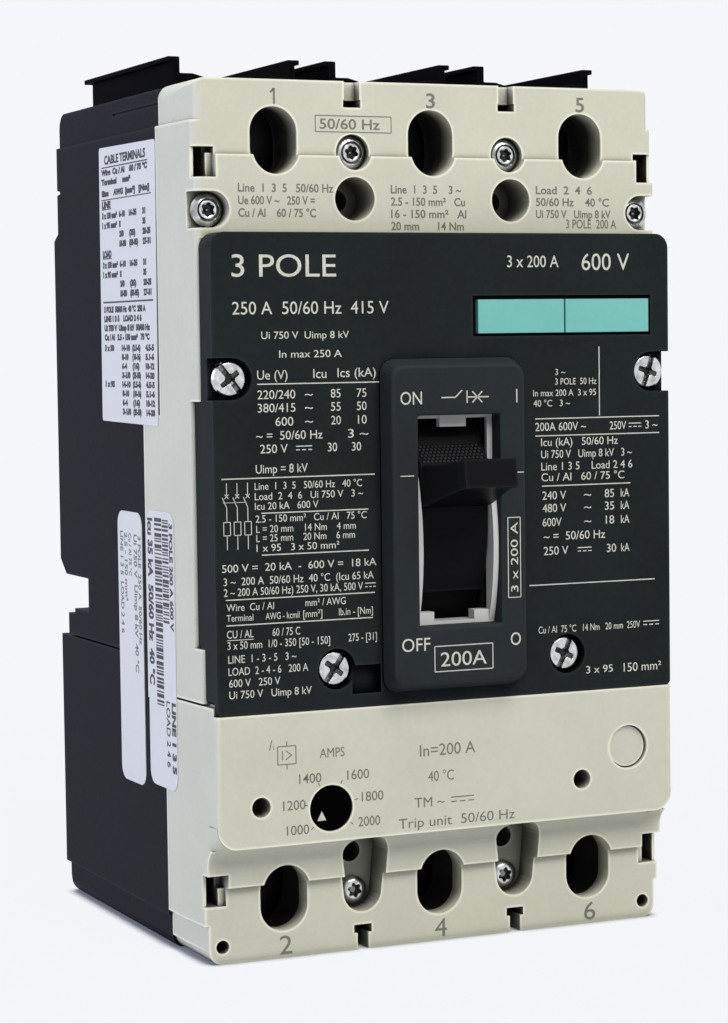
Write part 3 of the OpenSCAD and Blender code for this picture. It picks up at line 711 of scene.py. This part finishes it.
    words = (("3 x 200 A", 13.4, 138.0, 2.5, 25.2), ("600 V", 30.6, 137.4, 3.6, 41.8),
             ("3 ~", 24.2, 116.0, 1.3, 26.6), ("3 POLE  50 Hz", 24.2, 114.0, 1.4, 33.8),
             ("In max 200 A  3 x 95", 19.1, 111.7, 1.4, 33.7), ("40 °C   3 ~", 19.1, 109.6, 1.4, 27.6),
             ("200A 600V ~", 19.5, 104.6, 1.8, 31.3), ("250V", 36.9, 104.5, 1.8, 40.8),
             ("3 ~", 45.4, 104.5, 1.8, 48.3), ("Icu (kA)   50/60 Hz", 20.8, 101.5, 1.7, 38.8),
             ("Ui 750 V   Uimp 8 kV   3 ~", 20.8, 99.0, 1.7, 42.1),
             ("Line 1 3 5    Load 2 4 6", 20.8, 96.5, 1.7, 42.2),
             ("Cu / Al   60 / 75 °C", 20.8, 94.3, 1.7, 40.3),
             ("240 V", 21.0, 90.5, 1.8, 26.5), ("~", 30.7, 90.5, 1.8, 32.4), ("85", 35.6, 90.5, 1.8, 37.8),
             ("480 V", 21.0, 87.9, 1.8, 26.5), ("~", 30.7, 87.9, 1.8, 32.4), ("35", 35.6, 87.9, 1.8, 37.8),
             ("600V", 21.0, 85.0, 1.8, 25.4), ("~", 30.7, 85.0, 1.8, 32.4), ("18", 35.8, 85.0, 1.8, 37.8),
             ("~ =  50/60 Hz", 21.2, 82.1, 1.8, 35.6), ("250 V", 21.2, 79.1, 1.8, 26.9),
             ("30", 36.0, 79.1, 1.8, 38.2), ("Cu / Al  75 °C   14 Nm   20 mm  250V", 19.8, 63.0, 1.5, 43.8),
             ("3 x 95", 30.9, 54.1, 1.6, 37.2), ("150 mm²", 39.8, 53.9, 1.9, 48.8))
    right = [line_of(*row) for row in words]
    right += [line_of("kA", 39.4, foot, 1.8, 41.4) for foot in (90.5, 87.9, 85.0, 79.1)]
    for start, end, foot in ((41.4, 44.4, 104.5), (29.1, 32.4, 79.1), (44.6, 48.4, 63.0)):
        right += direct_current(start, end, foot)
    right.append(stroke((34.5, 107.5), (34.5, 121.7), rule))
    right += [stroke((x, z), (end, z), rule) for x, end, z in (
        (19.5, 48.7, 107.1), (19.5, 48.7, 103.6), (20.9, 41.7, 93.3), (17.8, 47.4, 73.0))]
    print_on_front("cover_print_right", right, COVER_Y, WHITE_INK)


def make_bezel_print():
    """ON and OFF with their signs, the breaker symbol, two marks and the rating in its box."""
    thin = 0.26
    parts = [line_of("ON", -13.0, 110.75, 2.7, -8.3), stroke((12.9, 110.7), (12.9, 113.4), 0.28),
             line_of("OFF", -13.3, 61.6, 2.75, -7.1), line_of("O", 11.0, 61.6, 2.7, 13.3),
             line_of("200A", -4.8, 58.2, 3.0, 5.5), stroke((-13.2, 96.6), (-10.2, 96.6), 0.2),
             stroke((12.9, 96.6), (14.4, 96.6), 0.2), stroke((-4.0, 112.0), (-0.9, 112.0), thin),
             stroke((-0.9, 112.0), (0.6, 113.4), thin), stroke((1.7, 110.8), (1.7, 113.3), thin),
             stroke((1.7, 112.0), (6.6, 112.0), thin), stroke((2.9, 110.9), (5.1, 113.1), thin),
             stroke((2.9, 113.1), (5.1, 110.9), thin)]
    parts += box_of((-6.1, 57.2), (6.9, 62.3), 0.2)
    parts += box_of((10.6, 71.3), (13.4, 87.5), 0.18)
    parts += turned_left([line_of("3 x 200 A", 0.9, 0.0, 1.7, 15.0)], 12.8, 71.5)
    print_on_front("bezel_print", parts, BEZEL_Y, WHITE_INK)


def make_dial_print():
    """The trip dial's numbers and ticks on an arc, the trip symbol and the rated current."""
    thin = 0.2
    middle = np.array([DIAL[0], DIAL[2]])
    parts = []
    for angle in np.radians(222 - 52 * np.arange(6)):
        way = np.array([math.cos(angle), math.sin(angle)])
        parts.append(stroke(middle + 5.2 * way, middle + 5.95 * way, 0.2))
    starts = ((-36.8, 26.1), (-37.5, 31.1), (-34.0, 36.2), (-23.6, 36.2), (-20.5, 31.6), (-21.3, 26.6))
    for words, (left, foot) in zip(("1000", "1200", "1400", "1600", "1800", "2000"), starts):
        parts.append(line_of(words, left, foot, 2.0, left + 4.8, 0.004))
    left, foot = -38.5, 40.3
    parts += box_of((left, foot), (left + 3.9, foot + 3.6), thin)
    parts += [stroke((left + 1.95, foot + 3.6), (left + 1.95, foot + 4.6), thin),
              stroke((left + 1.95, foot), (left + 1.95, foot - 1.0), thin),
              stroke((left + 1.0, foot + 0.9), (left + 1.0, foot + 2.7), thin),
              stroke((left + 1.7, foot + 2.7), (left + 3.0, foot + 1.8), thin),
              stroke((left + 3.0, foot + 1.8), (left + 1.7, foot + 0.9), thin),
              stroke((left - 1.7, foot + 3.0), (left - 1.2, foot + 5.0), thin),
              line_of("i", left - 0.9, foot + 3.0, 1.3), line_of("AMPS", -29.5, 41.0, 2.0, -24.1),
              line_of("In=200 A", -7.5, 39.6, 2.5, 5.0), line_of("40 °C", -5.7, 34.4, 2.2, 0.1),
              line_of("TM ~", -8.8, 29.3, 2.1, -2.1), stroke((-0.6, 30.8), (4.6, 30.8), 0.22),
              line_of("Trip unit  50/60 Hz", -12.4, 25.3, 2.1, 13.9)]
    parts += [stroke((x, 29.9), (x + 1.3, 29.9), 0.22) for x in (-0.6, 1.35, 3.3)]
    print_on_front("dial_print", parts, COVER_Y, GREY_INK)


def make_pole_numbers():
    """The line poles 1, 3 and 5 above their ovals and the load poles 2, 4 and 6 below theirs."""
    top = [line_of(n, x - 0.95, 170.3, 3.1, x + 1.05, 0.012) for n, x in zip("35", (0.1, 34.5))]
    top += path([(-34.9, 172.6), (-34.1, 173.4), (-34.1, 170.3)], 0.42)
    print_on_front("line_pole_numbers", top, TERMINAL_Y, GREY_INK)
    foot = [line_of(n, x - 1.35, 0.75, 4.0, x + 1.35) for n, x in zip("246", (-34.4, 0.2, 35.2))]
    print_on_front("load_pole_numbers", foot, LOAD_Y, GREY_INK)


def make_terminal_notes():
    """Small grey rows of plain terminal data by the line terminals, and a boxed rating above them."""
    blocks = ((-42.6, 153.0, (("Line  1  3  5   50/60 Hz", 20.4), ("Ue 600 V ~   250 V =", 16.4),
                              ("Cu / Al    60 / 75 °C", 16.6))),
              (-9.6, 153.0, (("Line  1  3  5    3 ~", 15.8), ("2.5 - 150 mm²   Cu", 16.6),
                             ("16 - 150 mm²   Al", 16.9), ("20 mm      14 Nm", 16.3))),
              (23.3, 153.2, (("Load  2  4  6", 13.2), ("50/60 Hz    40 °C", 17.2),
                             ("Ui 750 V   Uimp 8 kV", 17.6))))
    parts = [line_of("3 POLE  200 A", 30.3, 146.2, 1.9, 42.2, 0.008)]
    for left, foot, rows in blocks:
        for i, (words, wide) in enumerate(rows):
            parts.append(line_of(words, left, foot - 2.45 * i, 1.7, left + wide, 0.018))
    print_on_front("terminal_notes", parts, TERMINAL_Y - 1.4, GREY_INK)
    parts = box_of((-25.3, 165.1), (-8.7, 168.3), 0.2)
    parts.append(line_of("50/60 Hz", -24.4, 165.7, 2.1, -11.2, 0.012))
    print_on_front("line_note", parts, TERMINAL_Y, GREY_INK)


def make_rating_label():
    """Rules and rows of plain connector data on the long label.

    A row's offset runs from the label's front edge towards the back, its drop down from the top.
    """
    edge, top = -high("rating_label")[1], high("rating_label")[2]

    def row(offset, drop, words, wide, height=1.2, bold=0.075):
        return line_of(words, edge + offset, top - drop, height, edge + offset + wide, bold)

    def rule(drop, width, left=2.0, right=33.0):
        return stroke((edge + left, top - drop), (edge + right, top - drop), width)

    parts = [row(4.2, 3.6, "CABLE TERMINALS", 25.6, 1.8, 0.04), rule(4.3, 0.25, 2.4, 31.0),
             row(2.2, 5.9, "Wire  Cu / Al    60 / 75 °C", 28.6), row(2.2, 7.9, "Terminal     mm²", 18.4),
             row(2.2, 10.3, "Size", 4.6), row(9.6, 10.3, "AWG", 6.2), row(17.2, 10.3, "[mm²]", 6.0),
             row(25.4, 10.3, "[Nm]", 6.4), rule(11.1, 0.22), row(2.2, 12.8, "LINE", 5.6, 1.4),
             rule(13.1, 0.2, 2.2, 8.0), row(2.2, 23.2, "LOAD", 5.6, 1.4), rule(23.5, 0.2, 2.2, 8.0)]
    columns = ((2.2, 9.6), (13.0, 4.2), (19.2, 5.4), (27.4, 5.0))
    rows = (("3 x 150 mm²", "6-10", "16-25", "31"), ("1 x 95 mm²", "1", "", "35"),
            ("", "2/0", "(35)", "20-25"), ("", "1/0-350", "(50-95)", "27-31"))
    for start in (15.0, 25.4):
        for i, words in enumerate(rows):
            for (offset, wide), word in zip(columns, words):
                if word:
                    parts.append(row(offset, start + 2.05 * i, word, min(wide, 0.95 * len(word))))
    parts.append(rule(32.7, 0.35))
    lines = (("3 POLE  50/60 Hz  40 °C  250 A", 26.0), ("LINE 1 3 5    LOAD 2 4 6", 23.5),
             ("Ui 750 V  Uimp 8 kV  50/60 Hz", 28.5), ("Cu / Al   2.5 - 150 mm²   75 °C", 28.0))
    for i, (words, wide) in enumerate(lines):
        parts.append(row(2.4, 34.8 + 1.95 * i, words, wide))
    sizes = (("14-10", "(2.5-6)", "4.5-5"), ("8-10", "(10-16)", "5.1-6"), ("6-4", "(16)", "10-12"),
             ("3-1/0", "(25-50)", "14-20"))
    for i in range(8):
        for (offset, wide), word in zip(((13.2, 5.2), (19.8, 5.0), (27.8, 5.2)), sizes[i % 4]):
            parts.append(row(offset, 42.9 + 1.9 * i, word, min(wide, 1.05 * len(word))))
    parts += [row(2.4, 42.9, "3 x 50", 6.0), row(2.4, 50.5, "1 x 95", 6.0)]
    print_on_left("rating_label_print", parts, LABEL_X, BLACK_INK)


def make_small_label_print():
    """Rows of plain data and bars on the two lower labels, which read from top to bottom."""
    edge, top = -high("address_label")[1], high("address_label")[2]
    parts = []
    rows = ((1.6, "LINE 1 3 5  LOAD 2 4 6", 4.3, 26.0, 1.8), (4.2, "2.5 - 150 mm²", 4.5, 19.0, 1.8),
            (6.9, "Cu / Al 75 °C", 4.5, 13.5, 1.6), (10.0, "Ui 750 V  Uimp 8 kV  40 °C", 4.6, 33.5, 2.0),
            (12.6, "3 POLE  250 A  50/60 Hz", 4.8, 27.5, 1.7))
    for offset, words, start, end, height in rows:
        parts += turned_right([line_of(words, start, 0, height, end, 0.022)], edge + offset, top)
    print_on_left("address_label_print", parts, LABEL_X, GREY_INK)

    edge, top = -high("barcode_label")[1], high("barcode_label")[2]
    parts = []
    for offset, words, start, end, height, weight in (
            (0.8, "Icu 35 kA  50/60 Hz  40 °C", 1.6, 36.0, 2.8, 0.045),
            (13.4, "3 POLE 200 A 600 V", 2.2, 24.0, 1.9, 0.04),
            (13.4, "LINE 1 3 5", 38.5, 53.0, 2.2, 0.05), (10.2, "LOAD 2 4 6", 38.5, 52.0, 2.2, 0.012)):
        parts += turned_right([line_of(words, start, 0, height, end, weight)], edge + offset, top)
    bars = np.random.default_rng(7)
    for offset, wide, start, end in ((4.8, 4.1, 1.4, 40.2), (9.3, 3.5, 1.6, 22.6)):
        drop, near, far = start, edge + offset, edge + offset + wide
        while drop < end:
            bar = bars.choice([0.28, 0.28, 0.5, 0.8])
            parts.append(stroke((near, top - drop - bar / 2), (far, top - drop - bar / 2), bar))
            drop += bar + bars.choice([0.22, 0.3, 0.5])
    print_on_left("barcode_label_print", parts, LABEL_X, BLACK_INK)


def make_corner_webs():
    """The solid corner behind each round lower corner of the trip unit's face.

    Its lower edge is x = outer - a + a cos(t)^p, z = FACE_Z + 4 - b sin(t)^p for t from 0 to 90
    degrees: a quarter of a circle in front, and nearly square behind, where it meets the cove.
    """
    front, back, steps = COVER_Y + 0.5, LOAD_Y - 2.6, 12
    turn = np.radians(np.linspace(0, 90, steps + 1))

    def edge(outer, a, b, y, power=1.0):
        x = outer - a + a * np.cos(turn).clip(0, 1) ** power
        z = FACE_Z + 4 - b * np.sin(turn) ** power
        z[0] += 0.4  # tucked under the side wall
        return np.column_stack([x, np.full(steps + 1, y), z])

    for side, name in ((-1, "left"), (1, "right")):
        lines = [edge(51.25, 4.0, 4.0, front), edge(51.75, 4.5, 5.5, back, 0.3),
                 edge(51.75, 4.5, 4.0, back)]
        points = np.vstack(lines) * (side, 1, 1)
        first, second, third = (line * (steps + 1) for line in range(3))
        faces = [(a + i, b + i, b + i + 1, a + i + 1) for i in range(steps)
                 for a, b in ((first, second), (second, third), (third, first))]
        faces += [(first, third, second), (first + steps, second + steps, third + steps)]
        if side < 0:
            faces = [face[::-1] for face in faces]
        mesh_piece("corner_web_" + name, points, faces, FINISHES["web"], "breaker",
                   smooth=40)


def make_dial_pointer():
    """A small white triangle on the dial, off its middle, which turns with it."""
    x, z = DIAL[0] - 2.0, DIAL[2] - 1.6
    flat = np.array([(x - 0.95, z - 0.8), (x + 0.95, z - 0.8), (x, z + 1.1)])
    points = np.vstack([np.column_stack([flat, np.full(3, d)]) for d in (-0.5, 0.5)])
    faces = [(2, 1, 0), (3, 4, 5), (0, 1, 4, 3), (1, 2, 5, 4), (2, 0, 3, 5)]
    front = low("adjust_dial")[1]
    print_on_front("dial_pointer", [(points, faces)], front, WHITE_INK, body="dial")


def make_thumb_knurl():
    """Rows of small pips on the sloping thumb rest above the handle, each a low six sided cap.

    The rest runs from (43.1, 3.8) to (40.2, 8.1) millimetres forward of and above the pivot,
    before the handle's tilt; a pip's rings stand along the rest's normal.
    """
    tilt, spacing, half = math.radians(9.2), 0.9, 7.0
    foot, head = np.array([43.1, 3.8]), np.array([40.2, 8.1])
    along = (head - foot) / np.linalg.norm(head - foot)
    normal = np.array([along[1], -along[0]])
    rows = []
    for row, share in enumerate(np.linspace(0.12, 0.9, 6)):
        across = np.arange(-6.8, 6.9, spacing) + (spacing / 2 if row % 2 else 0)
        rows.append(np.column_stack([across, np.full(len(across), share)]))
    spots = np.vstack(rows)
    spots = spots[np.abs(spots[:, 0]) < half]
    around = np.radians(np.arange(6) * 60)
    rings = ((0.34, -0.1), (0.32, 0.12), (0.17, 0.26))
    side, up, rise = (np.concatenate(part) for part in zip(
        *[(r * np.cos(around), r * np.sin(around), np.full(6, h)) for r, h in rings]))
    one = ring_faces(3, 6).tolist() + [[5, 4, 3, 2, 1, 0], [12, 13, 14, 15, 16, 17]]
    points, faces = [], []
    for i, (x, share) in enumerate(spots):
        place = foot + share * (head - foot)
        forward = place[0] + up * along[0] + rise * normal[0]
        above = place[1] + up * along[1] + rise * normal[1]
        y = PIVOT_Y - forward * math.cos(tilt) + above * math.sin(tilt)
        z = PIVOT_Z + forward * math.sin(tilt) + above * math.cos(tilt)
        points.append(np.column_stack([x + side, y, z]))
        faces += [[v + 18 * i for v in face] for face in one]
    mesh_piece("thumb_knurl", np.vstack(points), faces, FINISHES["knurl"], "toggle")


# ---- the CAD nodes ----

# how wide the sharp edges of these nodes are rounded, in millimetres
BEVELS = {"base_housing": 0.5, "trip_unit_base": 0.5, "line_cover": 0.35, "trip_unit_cover": 0.35,
          "front_cover": 0.5, "toggle_bezel": 0.5, "toggle_handle": 0.3, "toggle_frame": 0.15,
          "terminal_shield_1": 0.2, "terminal_shield_3": 0.2, "terminal_shield_5": 0.2}


def dress_nodes():
    """Gives every CAD node its finish, and rounds the sharp edges of the nodes in BEVELS by a small bevel.
    """
    slots = {part["node"]: part["material_slot"] for part in frame["record"]["subparts"]}
    for name, part in frame["nodes"].items():
        part.data.materials.clear()
        # the bezel takes its own lighter black, a painted sheen, in place of its record's finish
        part.data.materials.append(FINISHES["bezel" if name == "toggle_bezel" else slots[name]])
        if name in BEVELS:
            weld = part.modifiers.new("weld", "WELD")
            weld.merge_threshold = 0.01 * MM
            flat = part.modifiers.new("flat", "DECIMATE")
            flat.decimate_type = "DISSOLVE"
            flat.angle_limit = math.radians(0.5)
            bevel = part.modifiers.new("bevel", "BEVEL")
            bevel.width = BEVELS[name] * MM
            bevel.segments = 2
            bevel.limit_method = "ANGLE"
            bevel.angle_limit = math.radians(30)
            bevel.harden_normals = False


make_camera()
make_room()
for side, turn in (("upper_left", 0.9), ("upper_right", 1.9), ("lower_left", 2.2), ("lower_right", 2.0)):
    screw("cover_screw_" + side, 3.6, 1.5, combination_head, turn)
for side, turn in (("left", 0.3), ("right", 0.7)):
    screw("line_screw_" + side, 3.3, 1.9, ringed_head, turn)
    screw("side_screw_" + side, 3.3, 1.9, ringed_head, turn + 0.3)
    screw("load_screw_" + side, 2.8, 1.8, six_lobe_head, turn)
make_cover_print()
make_bezel_print()
make_dial_print()
make_pole_numbers()
make_terminal_notes()
make_corner_webs()
make_rating_label()
make_small_label_print()
make_dial_pointer()
make_thumb_knurl()
dress_nodes()
bpy.context.scene.view_settings.view_transform = "Standard"
